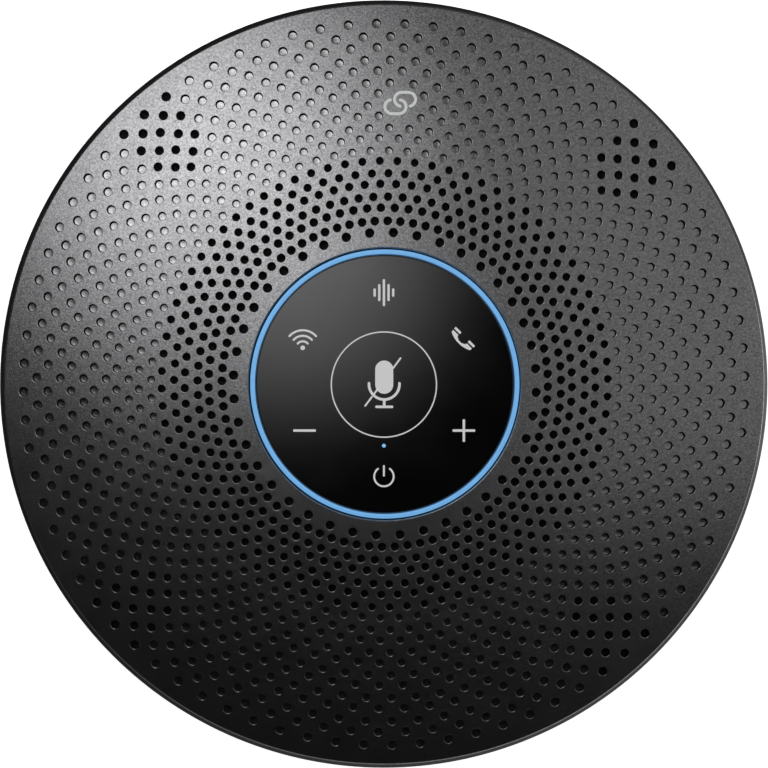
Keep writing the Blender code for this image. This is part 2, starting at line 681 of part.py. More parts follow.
def make_cells():
    """The two lithium cells, each in its cradle beside the loudspeaker, with its lead."""
    for side, name in ((-1, "left"), (1, "right")):
        half = CELL_LENGTH / 2
        profile = [
            (0, half + 0.8),
            (2.8, half + 0.8),
            (2.8, half),
            (CELL_R - 0.6, half),
            (CELL_R, half - 0.6),
            (CELL_R, -half),
            (0, -half),
        ]
        place = (side * CELL_X, 0, CELL_Z)
        cell = turned(f"battery_cell_{name}", profile, SIDES_MEDIUM, "cell_wrap", place)
        cell.rotation_euler = (math.pi / 2, 0, 0)
        low = (side * CELL_X - 7.5, -26, BOARD_Z[1] + GAP)
        high = (side * CELL_X + 6, 26, 10)
        if side < 0:
            low = (side * CELL_X - 6, *low[1:])
            high = (side * CELL_X + 7.5, *high[1:])
        cradle = box(f"battery_cradle_{name}", low, high, "frame_plastic")
        seat = (f"cell_seat_{name}", CELL_R + GAP, -30, 30, side * CELL_X, CELL_Z, 24)
        combine(cradle, lying_cylinder(*seat))
        lead = [(33, -34.2, 17), (29, -36, 15.5), (24.5, -37.5, 11), (23, -38, 5.6)]
        points = [(side * x, y, z) for x, y, z in lead]
        wire(f"battery_lead_{name}", points, 0.6, "wire_red" if side < 0 else "wire_black")


def make_speaker_leads():
    """The two wires from the basket's terminals down to the main board."""
    route = [(16.9, 16.9, 20), (18.2, 18.2, 16.5), (18.8, 18.6, 11), (19.3, 18.2, 5.6)]
    for name, shift in (("positive", 1.2), ("negative", -1.2)):
        points = [(x + shift, y - shift, z) for x, y, z in route]
        finish = "wire_red" if name == "positive" else "wire_black"
        wire(f"speaker_lead_{name}", points, 0.5, finish)


def settle_meshes():
    """Apply each part's modifiers, then shade it smooth with its corners kept crisp."""
    bpy.context.view_layer.update()
    graph = bpy.context.evaluated_depsgraph_get()
    made = [o for o in bpy.data.collections["conference_speakerphone"].objects if o.type == "MESH"]
    meshes = [bpy.data.meshes.new_from_object(obj.evaluated_get(graph)) for obj in made]
    for obj, mesh in zip(made, meshes):
        obj.modifiers.clear()
        obj.data = mesh
        mesh.name = obj.name
        mesh.shade_smooth()
        mesh.set_sharp_from_angle(angle=math.radians(SHARP_DEG))


def main():
    clear_scene()
    new_collection("conference_speakerphone")
    new_collection("cutters")
    make_grille()
    make_lower_housing()
    make_underside()
    make_panel()
    make_baffle()
    make_speaker_chassis()
    make_cone()
    make_main_board()
    make_ports()
    make_microphones()
    make_cells()
    make_speaker_leads()
    settle_meshes()


main()
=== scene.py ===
"""Looks of the conference speakerphone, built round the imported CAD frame.

Lengths here are millimetres in the row frame, and MM turns them into metres. Angles called turn
are degrees clockwise from the back (+Y), as seen from above.
"""

import json
import math

import bmesh
import bpy
from mathutils import Matrix, Vector


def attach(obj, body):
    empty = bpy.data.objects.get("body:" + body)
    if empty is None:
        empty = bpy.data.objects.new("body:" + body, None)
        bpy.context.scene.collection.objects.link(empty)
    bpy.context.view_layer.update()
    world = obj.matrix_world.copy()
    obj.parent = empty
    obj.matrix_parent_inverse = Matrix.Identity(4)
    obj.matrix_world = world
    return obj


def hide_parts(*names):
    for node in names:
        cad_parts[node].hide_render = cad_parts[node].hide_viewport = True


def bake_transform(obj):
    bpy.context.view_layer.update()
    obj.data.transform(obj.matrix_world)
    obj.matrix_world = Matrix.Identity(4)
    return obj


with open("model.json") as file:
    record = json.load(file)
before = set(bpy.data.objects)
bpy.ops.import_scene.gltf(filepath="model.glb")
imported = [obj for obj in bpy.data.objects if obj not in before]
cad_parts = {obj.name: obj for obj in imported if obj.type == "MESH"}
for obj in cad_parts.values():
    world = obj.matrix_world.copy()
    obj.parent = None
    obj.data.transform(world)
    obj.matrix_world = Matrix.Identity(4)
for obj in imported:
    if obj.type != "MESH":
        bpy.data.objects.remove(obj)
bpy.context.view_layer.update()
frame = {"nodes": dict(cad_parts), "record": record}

MM = 0.001
FINE_SIDES = 256
ALL_ROUND = 2 * math.pi

# Dome of the grille, as in the CAD
DOME_R = 362.5
DOME_CENTRE_Z = 36.2 - DOME_R
PANEL_HOLE_R = 22.05
GRILLE_R = 61.8
GRILLE_WALL = 1.6
GRILLE_FILLET = 0.3
GRILLE_SKIRT_Z = 27.6

# Pattern of holes and dimples, in rings of cells that are staggered from ring to ring. A cell is
# four columns of the lattice wide, so that the stagger of half a cell is two columns.
RINGS = 19
CELLS = 80
COLUMNS = 4 * CELLS
COLUMN_DEG = 360 / COLUMNS
PATTERN_TURN = 3.27
HOLE_SIDES = 12
CHAMFER, CHAMFER_DEPTH = 0.09, 0.045
DIMPLE_DEPTH = 1.15
LAST_OPEN_RING = 6
MIC_TURNS = [PATTERN_TURN + 45 + 90 * k for k in range(4)]
MIC_FIRST_RING = 12
PICTOGRAM_R = 45.6
PICTOGRAM_RINGS = (10, 11, 12)

# Lens, what is printed on it, and the light ring round it
LENS_R = 20.85
LENS_TOP = 35.8
PRINT_LOW, PRINT_TOP = 35.801, 35.83
PRINT_SHIFT = Vector((-0.1, 0.11))
KEY_REACH_X, LOW_KEY_Y = 12.9, -7.65
GUIDE_R = (21.04, 21.8)
GUIDE_BLUE = (0.15, 0.4, 0.74)

# Lower housing and its ports
BASE_R, OUTER_R, BOWL_TOP_Z, UNDERSIDE_Z = 46.0, 62.5, 25.5, 0.8
SCREW_PLACES = [(x, y) for x in (-16.5, 16.5) for y in (-28.6, 28.6)]
PORT_FACE_Y, POCKET_Z = 57.2, 12.7
USB_PLACE, JACK_PLACE = (-6.5, 12.5), (6.5, 12.9)


# ---------------------------------------------------------------- shapes


def polar(radius, turn):
    """The (x, y) place at a radius and a clockwise turn from the back."""
    angle = math.radians(turn)
    return radius * math.sin(angle), radius * math.cos(angle)


def arc(centre, radius, start, end, count):
    """Points on an arc, its angles in degrees counted anticlockwise from +X."""
    angles = [math.radians(start + (end - start) * i / (count - 1)) for i in range(count)]
    return [(centre[0] + radius * math.cos(a), centre[1] + radius * math.sin(a)) for a in angles]


def filleted(points, steps=5):
    """A closed outline whose corners are rounded by the radius in their third value, if any."""
    outline = []
    for i, point in enumerate(points):
        here = Vector(point[:2])
        radius = point[2] if len(point) > 2 else 0
        if not radius:
            outline.append(tuple(here))
            continue
        before = (Vector(points[i - 1][:2]) - here).normalized()
        after = (Vector(points[(i + 1) % len(points)][:2]) - here).normalized()
        half = before.angle(after) / 2
        centre = here + (before + after).normalized() * radius / math.sin(half)
        reach = radius / math.tan(half)
        start, end = here + before * reach - centre, here + after * reach - centre
        first = math.degrees(math.atan2(start.y, start.x))
        sweep = math.degrees(math.atan2(end.y, end.x)) - first
        sweep = (sweep + 180) % 360 - 180
        outline += arc(centre, radius, first, first + sweep, steps)
    return outline


def turned(profile, sides=FINE_SIDES):
    """A closed (radius, z) profile turned about Z. A profile may start and end on the axis."""
    places, rows = [], []
    for radius, z in profile:
        if radius < 1e-6:
            rows.append([len(places)] * sides)
            places.append((0, 0, z))
        else:
            rows.append(range(len(places), len(places) + sides))
            turns = [ALL_ROUND * i / sides for i in range(sides)]
            places += [(radius * math.cos(t), radius * math.sin(t), z) for t in turns]
    faces = []
    for upper, lower in zip(rows, rows[1:] + rows[:1]):
        for i in range(sides):
            j = (i + 1) % sides
            corners = [upper[i], lower[i], lower[j], upper[j]]
            corners = [c for n, c in enumerate(corners) if c not in corners[:n]]
            if len(corners) > 2:
                faces.append(corners)
    return places, faces


def lofted(loops):
    """Skin over loops of equal length, closed by a flat face at both ends."""
    count = len(loops[0])
    places = [p for loop in loops for p in loop]
    faces = [list(range(count))[::-1], list(range(len(places) - count, len(places)))]
    for k in range(len(loops) - 1):
        for i in range(count):
            j = (i + 1) % count
            a, b = k * count, (k + 1) * count
            faces.append([a + i, a + j, b + j, b + i])
    return places, faces


def prism(outline, low, high):
    """An upright prism over an (x, y) outline. Its heights are numbers, or follow (x, y)."""
    z_of = [h if callable(h) else (lambda x, y, h=h: h) for h in (low, high)]
    return lofted([[(x, y, z(x, y)) for x, y in outline] for z in z_of])


def stroke(points, width, closed=False):
    """Outline of a pen stroke with round ends, or the two outlines of a closed one."""
    sides = ([], [])
    for i, point in enumerate(points):
        last = len(points) - 1
        before = points[i - 1] if i or closed else points[0]
        after = points[(i + 1) % len(points)] if i < last or closed else points[last]
        along = (Vector(after) - Vector(before)).normalized()
        normal = Vector((-along.y, along.x)) * width / 2
        sides[0].append(tuple(Vector(point) + normal))
        sides[1].append(tuple(Vector(point) - normal))
    if closed:
        return sides
    ends = []
    for tip, nearby in ((points[-1], points[-2]), (points[0], points[1])):
        out = Vector(tip) - Vector(nearby)
        facing = math.degrees(math.atan2(out.y, out.x))
        ends.append(arc(tip, width / 2, facing + 90, facing - 90, 9)[1:-1])
    return sides[0] + ends[0] + sides[1][::-1] + ends[1]


def raised_band(sides, low, high):
    """A flat closed band between the two outlines of a closed stroke."""
    outer, inner = sides
    count = len(outer)
    loops = [(outer, high), (inner, high), (inner, low), (outer, low)]
    places = [(x, y, z) for loop, z in loops for x, y in loop]
    faces = []
    for k in range(4):
        a, b = k * count, (k + 1) % 4 * count
        for i in range(count):
            j = (i + 1) % count
            faces.append([a + i, a + j, b + j, b + i])
    return places, faces


def box(low, high):
    """A plain box between its lowest and its highest corner."""
    (x0, y0, z0), (x1, y1, z1) = low, high
    return prism([(x0, y0), (x1, y0), (x1, y1), (x0, y1)], z0, z1)


def stadium(width, height, fillet, count=6):
    """Outline of a plate with round corners, as points (x, z)."""
    w, h = width / 2, height / 2
    fillet = min(fillet, w * 0.999, h * 0.999)
    return filleted([(w, h, fillet), (-w, h, fillet), (-w, -h, fillet), (w, -h, fillet)], count)


def along_y(outline, y, centre=(0, 0)):
    """An (x, z) outline stood upright at one y."""
    return [(x + centre[0], y, z + centre[1]) for x, z in outline]


def moved(shape, matrix):
    """A shape carried along by a matrix."""
    places, faces = shape
    return [tuple(matrix @ Vector(p)) for p in places], faces


def joined(shapes):
    """Several shapes as one."""
    places, faces = [], []
    for more_places, more_faces in shapes:
        start = len(places)
        places += more_places
        faces += [[start + i for i in face] for face in more_faces]
    return places, faces


def make_object(name, shape):
    """A mesh object of a shape in millimetres, with its faces turned outwards."""
    places, faces = shape
    mesh = bpy.data.meshes.new(name)
    mesh.from_pydata([(x * MM, y * MM, z * MM) for x, y, z in places], [], faces)
    bm = bmesh.new()
    bm.from_mesh(mesh)
    bmesh.ops.recalc_face_normals(bm, faces=bm.faces)
    bm.to_mesh(mesh)
    bm.free()
    obj = bpy.data.objects.new(name, mesh)
    bpy.context.scene.collection.objects.link(obj)
    return obj


def carve(obj, shape, operation="DIFFERENCE"):
    """Cut a shape from an object for good, add it, or keep only what lies in it."""
    tool = make_object("carving_tool", shape)
    boolean = obj.modifiers.new("carve", "BOOLEAN")
    boolean.operation, boolean.object, boolean.solver = operation, tool, "EXACT"
    graph = bpy.context.evaluated_depsgraph_get()
    mesh = bpy.data.meshes.new_from_object(obj.evaluated_get(graph))
    obj.modifiers.clear()
    obj.data = mesh
    bpy.data.objects.remove(tool)


def finish_piece(
    obj, material, slot=None, replaces=(), body="chassis", smooth_deg=35.0, weighted=True
):
    """Give a piece its material and smooth shading, and let it ride on its body."""
    obj.data.materials.clear()
    obj.data.materials.append(material)
    obj.data.shade_smooth()
    obj.data.set_sharp_from_angle(angle=math.radians(smooth_deg))
    if body:
        if weighted:
            obj.modifiers.new("weighted_normals", "WEIGHTED_NORMAL").keep_sharp = True
        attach(obj, body)
    if replaces:
        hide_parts(*replaces)
    return obj


def add_piece(name, shape, material, **how):
    """Make and finish a piece of the model at once."""
    return finish_piece(make_object(name, shape), material, **how)


# ---------------------------------------------------------------- materials


class Nodes:
    """Short ways to write the node tree of a material or of the world."""

    def __init__(self, owner, coordinates):
        owner.use_nodes = True
        self.tree = owner.node_tree
        self.place = self.add("ShaderNodeTexCoord").outputs[coordinates]

    def add(self, kind, inputs=None, **settings):
        node = self.tree.nodes.new(kind)
        for key, value in settings.items():
            setattr(node, key, value)
        for key, value in (inputs or {}).items():
            self.put(node.inputs[key], value)
        return node

    def put(self, socket, value):
        if isinstance(value, bpy.types.NodeSocket):
            self.tree.links.new(value, socket)
        else:
            socket.default_value = value

    def spread(self, value, low, high, start=0.0, end=1.0):
        """The value taken from start..end to low..high."""
        inputs = {
            "Value": value,
            "From Min": start,
            "From Max": end,
            "To Min": low,
            "To Max": high,
        }
        return self.add("ShaderNodeMapRange", inputs).outputs["Result"]

    def maths(self, operation, a, b=0.0):
        node = self.add("ShaderNodeMath", {0: a, 1: b}, operation=operation)
        return node.outputs[0]


class Finish(Nodes):
    """The node tree of a material, with its textures measured in millimetres."""

    def __init__(self, name):
        self.material = bpy.data.materials.new(name)
        super().__init__(self.material, "Object")
        self.shader = self.tree.nodes["Principled BSDF"]

    def set(self, **inputs):
        for key, value in inputs.items():
            self.put(self.shader.inputs[key.replace("_", " ")], value)

    def stretched(self, scale):
        node = self.add("ShaderNodeMapping", {"Vector": self.place, "Scale": scale})
        return node.outputs["Vector"]

    def noise(self, size_mm, detail=2.0, place=None):
        inputs = {"Vector": place or self.place, "Scale": 1 / (size_mm * MM), "Detail": detail}
        return self.add("ShaderNodeTexNoise", inputs).outputs["Fac"]

    def cells(self, size_mm, output="Color", feature="F1", place=None):
        inputs = {"Vector": place or self.place, "Scale": 1 / (size_mm * MM)}
        return self.add("ShaderNodeTexVoronoi", inputs, feature=feature).outputs[output]

    def mix(self, share, a, b):
        node = self.add("ShaderNodeMix", data_type="RGBA")
        for socket, value in ((node.inputs[0], share), (node.inputs[6], a), (node.inputs[7], b)):
            self.put(socket, value)
        return node.outputs[2]

    def bump(self, height, depth_mm, strength=1.0):
        inputs = {"Height": height, "Distance": depth_mm * MM, "Strength": strength}
        self.set(Normal=self.add("ShaderNodeBump", inputs).outputs["Normal"])


def rgb(colour, factor=1.0):
    """A colour with its alpha, made lighter or darker by a factor."""
    return (*(c * factor for c in colour), 1.0)


def plain_finish(
    name,
    colour,
    roughness,
    metallic=0.0,
    grain_mm=0.5,
    tint=0.15,
    bump_mm=0.01,
    rough_spread=0.06,
    stretch=None,
):
    """A finish with a fine grain in its colour, roughness and surface."""
    n = Finish(name)
    place = n.stretched(stretch) if stretch else n.place
    grain = n.noise(grain_mm, 3.0, place)
    patches = n.noise(grain_mm * 14, 2.0)
    low, high = roughness - rough_spread, roughness + rough_spread
    tone = n.mix(n.spread(grain, 0, 1, 0.3, 0.7), rgb(colour, 1 - tint), rgb(colour, 1 + tint))
    n.set(
        Base_Color=n.mix(n.spread(patches, 0, 0.5, 0.35, 0.65), tone, rgb(colour, 1 - tint)),
        Roughness=n.spread(n.maths("ADD", grain, patches), low, high, 0.6, 1.4),
        Metallic=metallic,
    )
    n.bump(grain, bump_mm)
    return n.material


def grille_paint(name, texture_mm, roughness, metallic=0.98):
    """Dark metallic paint: fine flakes that differ in brightness, on a slightly rough skin."""
    n = Finish(name)
    flakes = n.cells(0.2)
    flake_tone = n.add("ShaderNodeSeparateColor", {"Color": flakes}).outputs["Red"]
    clumps = n.noise(0.34, 2.0)
    tone = n.maths("ADD", n.spread(flake_tone, 0.0, 0.5), n.spread(clumps, 0.0, 0.5, 0.3, 0.7))
    n.set(
        Base_Color=n.mix(tone, rgb((0.11, 0.11, 0.114)), rgb((0.28, 0.28, 0.286))),
        Metallic=metallic,
        Roughness=n.spread(n.noise(6.0), roughness - 0.01, roughness + 0.01, 0.35, 0.65),
    )
    n.bump(n.noise(0.26, 1.0), texture_mm)
    return n.material


def housing_plastic():
    """Black moulded plastic with a fine spark-eroded grain."""
    n = Finish("housing_plastic")
    erosion = n.maths("ADD", n.noise(0.35, 4.0), n.cells(0.5, "Distance"))
    n.set(
        Base_Color=n.mix(n.noise(9.0), rgb((0.009, 0.009, 0.01)), rgb((0.014, 0.014, 0.0155))),
        Roughness=n.spread(n.noise(1.2, 3.0), 0.32, 0.42, 0.3, 0.7),
    )
    n.bump(erosion, 0.02)
    return n.material


def lens_gloss():
    """Piano black: nearly mirror smooth, with a trace of haze from handling."""
    n = Finish("lens_gloss")
    haze = n.noise(7.0, 4.0)
    n.set(
        Base_Color=n.mix(haze, rgb((0.0025, 0.0025, 0.003)), rgb((0.004, 0.004, 0.0045))),
        Roughness=n.spread(haze, 0.05, 0.09, 0.3, 0.7),
    )
    return n.material


def lit(name, colour, strength):
    """A translucent plastic that is lit from behind, with a little unevenness."""
    n = Finish(name)
    unevenness = n.spread(n.noise(0.8), 0, 1, 0.3, 0.7)
    glow = n.mix(unevenness, rgb(colour, 0.96), rgb(colour, 1.05))
    n.set(Base_Color=rgb(colour, 0.35), Roughness=0.3, Emission_Color=glow)
    n.shader.inputs["Emission Strength"].default_value = strength
    return n.material


def ink_with_painted_glow(name, colour, strength):
    """Screen-printed ink with a faint glow of its own colour: the glow is painted light on the
    print.
    """
    n = Finish(name)
    grain = n.noise(0.12, 2.0)
    tone = n.mix(grain, rgb(colour, 0.94), rgb(colour, 1.04))
    n.set(Base_Color=tone, Roughness=0.55, Emission_Color=tone)
    # Painted light: the ink's glow stands in for the light that falls on it.
    n.shader.inputs["Emission Strength"].default_value = strength
    return n.material


def circuit_board():
    """Solder mask over copper tracks, with the tracks a little lighter and raised."""
    n = Finish("board_green")
    tracks = n.cells(2.4, "Distance", "DISTANCE_TO_EDGE", n.stretched((1, 1, 0.001)))
    line = n.spread(tracks, 1.0, 0.0, 0.02, 0.09)
    grain = n.noise(0.4, 2.0)
    mask = n.mix(grain, rgb((0.008, 0.06, 0.028)), rgb((0.012, 0.085, 0.04)))
    n.set(
        Base_Color=n.mix(line, mask, rgb((0.03, 0.17, 0.08))),
        Roughness=n.spread(grain, 0.3, 0.42, 0.3, 0.7),
    )
    n.bump(line, 0.035)
    return n.material


def brushed_metal(name, colour, roughness, stretch):
    """Metal with a fine grain drawn out along one direction."""
    return plain_finish(name, colour, roughness, 1.0, 0.15, 0.1, 0.004, 0.07, stretch)


def winding():
    """Fine enamelled copper wire, wound in turns along Z."""
    n = Finish("copper")
    inputs = {"Vector": n.place, "Scale": 1600.0, "Distortion": 0.15}
    wave = n.add("ShaderNodeTexWave", inputs, bands_direction="Z").outputs["Fac"]
    n.set(
        Base_Color=n.mix(wave, rgb((0.28, 0.09, 0.03)), rgb((0.78, 0.34, 0.15))),
        Metallic=1.0,
        Roughness=n.spread(wave, 0.45, 0.25),
    )
    n.bump(wave, 0.05)
    return n.material


def woven(name, dark, light, pitch_mm, depth_mm, roughness=0.85):
    """A plain weave: two sets of threads crossing over and under."""
    n = Finish(name)
    threads = []
    for direction in ("X", "Y"):
        inputs = {"Vector": n.place, "Scale": 314.0 / pitch_mm, "Distortion": 0.4}
        node = n.add("ShaderNodeTexWave", inputs, bands_direction=direction)
        threads.append(node.outputs["Fac"])
    weave = n.maths("MULTIPLY", threads[0], threads[1])
    fuzz = n.noise(pitch_mm * 0.6, 3.0)
    n.set(
        Base_Color=n.mix(n.maths("MULTIPLY", weave, fuzz), rgb(dark), rgb(light)),
        Roughness=n.spread(fuzz, roughness - 0.08, roughness + 0.08, 0.3, 0.7),
    )
    n.shader.inputs["Sheen Weight"].default_value = 0.25
    n.bump(weave, depth_mm)
    return n.material


ALONG_Y, ALONG_Z = (1, 0.05, 1), (1, 1, 0.05)
SLOTS = {
    "grille_paint": grille_paint("grille_paint", 0.006, 0.255),
    "housing_plastic": housing_plastic(),
    "frame_plastic": plain_finish("frame_plastic", (0.03, 0.03, 0.032), 0.58, grain_mm=0.6),
    "lens_gloss": lens_gloss(),
    "light_guide": lit("light_guide", GUIDE_BLUE, 0.85),
    "board_green": circuit_board(),
    "chip_black": plain_finish("chip_black", (0.018, 0.018, 0.02), 0.5, grain_mm=0.2),
    "tin_plate": brushed_metal("tin_plate", (0.62, 0.62, 0.6), 0.32, ALONG_Y),
    "steel": brushed_metal("steel", (0.48, 0.48, 0.5), 0.34, ALONG_Z),
    "zinc_plate": brushed_metal("zinc_plate", (0.55, 0.55, 0.52), 0.36, ALONG_Z),
    "ferrite": plain_finish("ferrite", (0.045, 0.045, 0.05), 0.65, 0.2, 0.35, 0.3, 0.03),
    "paper_cone": woven("paper_cone", (0.012, 0.012, 0.012), (0.04, 0.04, 0.04), 0.7, 0.04),
    "rubber": plain_finish("rubber", (0.02, 0.02, 0.021), 0.78, grain_mm=0.3, bump_mm=0.02),
    "copper": winding(),
    "spider_cloth": woven("spider_cloth", (0.3, 0.17, 0.05), (0.62, 0.42, 0.18), 0.6, 0.06),
    "acoustic_cloth": woven("acoustic_cloth", (0.002,) * 3, (0.007,) * 3, 0.25, 0.03),
    "foam": plain_finish("foam", (0.03, 0.03, 0.03), 0.95, 0.0, 0.45, 0.4, 0.12, 0.03),
    "flex_film": plain_finish("flex_film", (0.03, 0.026, 0.022), 0.38, grain_mm=0.4),
    "cell_wrap": plain_finish("cell_wrap", (0.03, 0.12, 0.36), 0.32, 0.0, 3.0, 0.1, 0.02),
    "label_film": plain_finish("label_film", (0.05, 0.05, 0.052), 0.48, grain_mm=0.4),
    "wire_red": plain_finish("wire_red", (0.42, 0.012, 0.012), 0.42, grain_mm=0.8),
    "wire_black": plain_finish("wire_black", (0.015, 0.015, 0.015), 0.42, grain_mm=0.8),
}


def dress_cad_nodes():
    """Every CAD node takes the finish of its slot, for those that stay on show."""
    for row in frame["record"]["subparts"]:
        obj = frame["nodes"][row["node"]]
        obj.data.materials.clear()
        obj.data.materials.append(SLOTS[row["material_slot"]])


# ---------------------------------------------------------------- grille


def ring_radius(ring):
    """Radius of a ring of holes. The even rings sit a little further out than a smooth spacing."""
    even = 0.08 if ring % 2 == 0 else -0.08
    return 24.48 + 2.047 * ring - 0.02275 * ring**2 + 0.00078 * ring**3 + even


def hole_radius(ring):
    """Radius of a hole, which is least in the middle rings and largest in the first one."""
    return 0.75 if ring == 0 else (1.25 + 0.025 * abs(ring - 7)) / 2


def dome_point(radius, turn, depth=0.0):
    """The point of the dome at a radius and turn, or the one this deep along its normal."""
    x, y = polar(radius * (DOME_R - depth) / DOME_R, turn)
    return Vector((x, y, DOME_CENTRE_Z + (DOME_R - depth) * math.cos(math.asin(radius / DOME_R))))


def under_dome(depth):
    """The height, as a function of (x, y), of the surface this deep under the dome."""
    return lambda x, y: DOME_CENTRE_Z + math.sqrt((DOME_R - depth) ** 2 - x * x - y * y)


def degrees_apart(turn, other):
    """How far two turns are apart, the short way round."""
    return abs((turn - other + 180) % 360 - 180)


def cell_kind(ring, turn):
    """What a cell holds: an open hole, a blind dimple, or nothing.

    The first ring has a hole in every other cell, the mic holes gather round four turns near the
    edge, and the pictogram's place stays plain.
    """
    if ring == 0:
        return "open" if round((turn - PATTERN_TURN) / (360 / CELLS)) % 2 == 0 else "plain"
    if ring <= LAST_OPEN_RING:
        return "open"
    if ring in PICTOGRAM_RINGS and degrees_apart(turn, PATTERN_TURN) < (2.5 if ring == 11 else 1):
        return "plain"
    reach = (5, 3)[ring % 2] if ring > MIC_FIRST_RING else 1
    if ring >= MIC_FIRST_RING and any(degrees_apart(turn, mic) < reach for mic in MIC_TURNS):
        return "open"
    return "dimple"


class Skin:
    """Places and faces as they are added, with each shared place kept under its key."""

    def __init__(self):
        self.places, self.faces, self.shared = [], [], {}
        self.floors, self.painted_shade_walls = [], []

    def point(self, place, key=None):
        if key in self.shared:
            return self.shared[key]
        self.places.append(tuple(place))
        if key:
            self.shared[key] = len(self.places) - 1
        return len(self.places) - 1

    def join(self, loops):
        """Join closed loops of equal length, one to the next. Returns the new faces' numbers."""
        start = len(self.faces)
        for outer, inner in zip(loops, loops[1:]):
            for i in range(len(outer)):
                j = (i + 1) % len(outer)
                self.faces.append([outer[i], outer[j], inner[j], inner[i]])
        return range(start, len(self.faces))


RING_RADII = [ring_radius(k) for k in range(RINGS)]
RING_EDGES = [(a + b) / 2 for a, b in zip(RING_RADII, RING_RADII[1:])]
RING_EDGES = [RING_RADII[0] - 1.0] + RING_EDGES + [RING_RADII[-1] + 1.0]


def lattice_point(skin, side, level, column):
    """A point of the lattice. Whole levels are edges of rings, and halves are their middles."""
    column %= COLUMNS
    radius = (RING_EDGES if level == int(level) else RING_RADII)[int(level)]
    depth = GRILLE_WALL if side == "under" else 0
    place = dome_point(radius, PATTERN_TURN + column * COLUMN_DEG, depth)
    return skin.point(place, (side, level, column))


def cell_edge(skin, side, ring, column):
    """The lattice points round one cell: as many of them as a hole has sides."""
    around = [(0, 0), (0, 1), (0, 2), (0.5, 2), (1, 2), (1, 1)]
    around += [(1, 0), (1, -1), (1, -2), (0.5, -2), (0, -2), (0, -1)]
    return [lattice_point(skin, side, ring + up, column + along) for up, along in around]


def fill_cell(skin, ring, column):
    """One cell of the lattice, with its hole, its dimple or neither."""
    turn = PATTERN_TURN + column * COLUMN_DEG
    kind = cell_kind(ring, turn)
    edge = cell_edge(skin, "top", ring, column)
    edge_under = cell_edge(skin, "under", ring, column)
    if kind != "open":
        skin.faces.append(edge_under[::-1])
    if kind == "plain":
        skin.faces.append(edge)
        return
    centre = dome_point(RING_RADII[ring], turn)
    down = (Vector((0, 0, DOME_CENTRE_Z)) - centre).normalized()
    along = Vector((*polar(1, turn + 90), 0))
    outward = along.cross(down)

    def circle(radius, depth):
        angles = [ALL_ROUND * (i / HOLE_SIDES - 0.25) for i in range(HOLE_SIDES)]
        offsets = [math.cos(a) * along + math.sin(a) * outward for a in angles]
        return [skin.point(centre + down * depth + radius * offset) for offset in offsets]

    radius = hole_radius(ring)
    mouth = circle(radius, CHAMFER_DEPTH)
    skin.join([edge, circle(radius + CHAMFER, 0), mouth])
    if kind == "open":
        skin.join([mouth, circle(radius, GRILLE_WALL), edge_under])
        return
    foot = circle(radius * 0.83, DIMPLE_DEPTH)
    # These wall faces take a near-black finish later: painted shade inside the dimple.
    skin.painted_shade_walls += skin.join([mouth, circle(radius * 0.88, DIMPLE_DEPTH - 0.07), foot])
    middle = skin.point(centre + down * (DIMPLE_DEPTH + 0.03))
    skin.floors += range(len(skin.faces), len(skin.faces) + HOLE_SIDES)
    skin.faces += [[foot[i - 1], foot[i], middle] for i in range(HOLE_SIDES)]


def shoulder(side, depth, fillet, count):
    """The rounded corner, as (radius, z), between the dome this deep and an upright side."""
    centre_r = side - fillet
    centre_z = DOME_CENTRE_Z + math.sqrt((DOME_R - depth - fillet) ** 2 - centre_r**2)
    start = math.degrees(math.atan2(centre_z - DOME_CENTRE_Z, centre_r))
    return arc((centre_r, centre_z), fillet, start, 0, count)


def bridge(skin, level, rows):
    """Join an edge of the lattice on top to the one underneath through rows of (radius, z)."""
    loops = [[lattice_point(skin, "top", level, c) for c in range(COLUMNS)]]
    for radius, z in rows:
        spots = [polar(radius, PATTERN_TURN + c * COLUMN_DEG) for c in range(COLUMNS)]
        loops.append([skin.point((*spot, z)) for spot in spots])
    loops.append([lattice_point(skin, "under", level, c) for c in range(COLUMNS)])
    skin.join(loops)


def grille_skin():
    """The whole grille: a lattice of cells between an outer edge with a skirt and an inner rim."""
    skin = Skin()
    for ring in range(RINGS):
        stagger = 0 if ring % 2 == 0 else -2
        for cell in range(CELLS):
            fill_cell(skin, ring, stagger + 4 * cell)

    outside = shoulder(GRILLE_R, 0, GRILLE_FILLET, 9)
    outside += [(GRILLE_R, GRILLE_SKIRT_Z + 0.1), (GRILLE_R - 0.1, GRILLE_SKIRT_Z)]
    inner_side = GRILLE_R - GRILLE_WALL
    inside = shoulder(inner_side, GRILLE_WALL, 0.2, 4) + [(inner_side, GRILLE_SKIRT_Z)]
    bridge(skin, RINGS, outside + inside[::-1])

    top_z, low_z = (under_dome(depth)(PANEL_HOLE_R, 0) for depth in (0, GRILLE_WALL))
    corner = [(PANEL_HOLE_R, top_z, 0.18), (PANEL_HOLE_R, top_z - 2), (24, top_z - 0.1)]
    bridge(skin, 0, filleted(corner)[:5] + [(PANEL_HOLE_R, low_z)])
    return skin


def shade_as_dome(mesh):
    """Shade the skin as the smooth dome it is, right up to the edges of the holes."""
    centre = Vector((0, 0, DOME_CENTRE_Z)) * MM
    tolerance = 0.002 * MM
    normals = [Vector()] * len(mesh.loops)
    for face in mesh.polygons:
        for i in face.loop_indices:
            out = mesh.vertices[mesh.loops[i].vertex_index].co - centre
            on_dome = abs(out.length - DOME_R * MM) < tolerance
            if on_dome and out.normalized().dot(face.normal) > 0.8:
                normals[i] = out.normalized()
    mesh.normals_split_custom_set(normals)


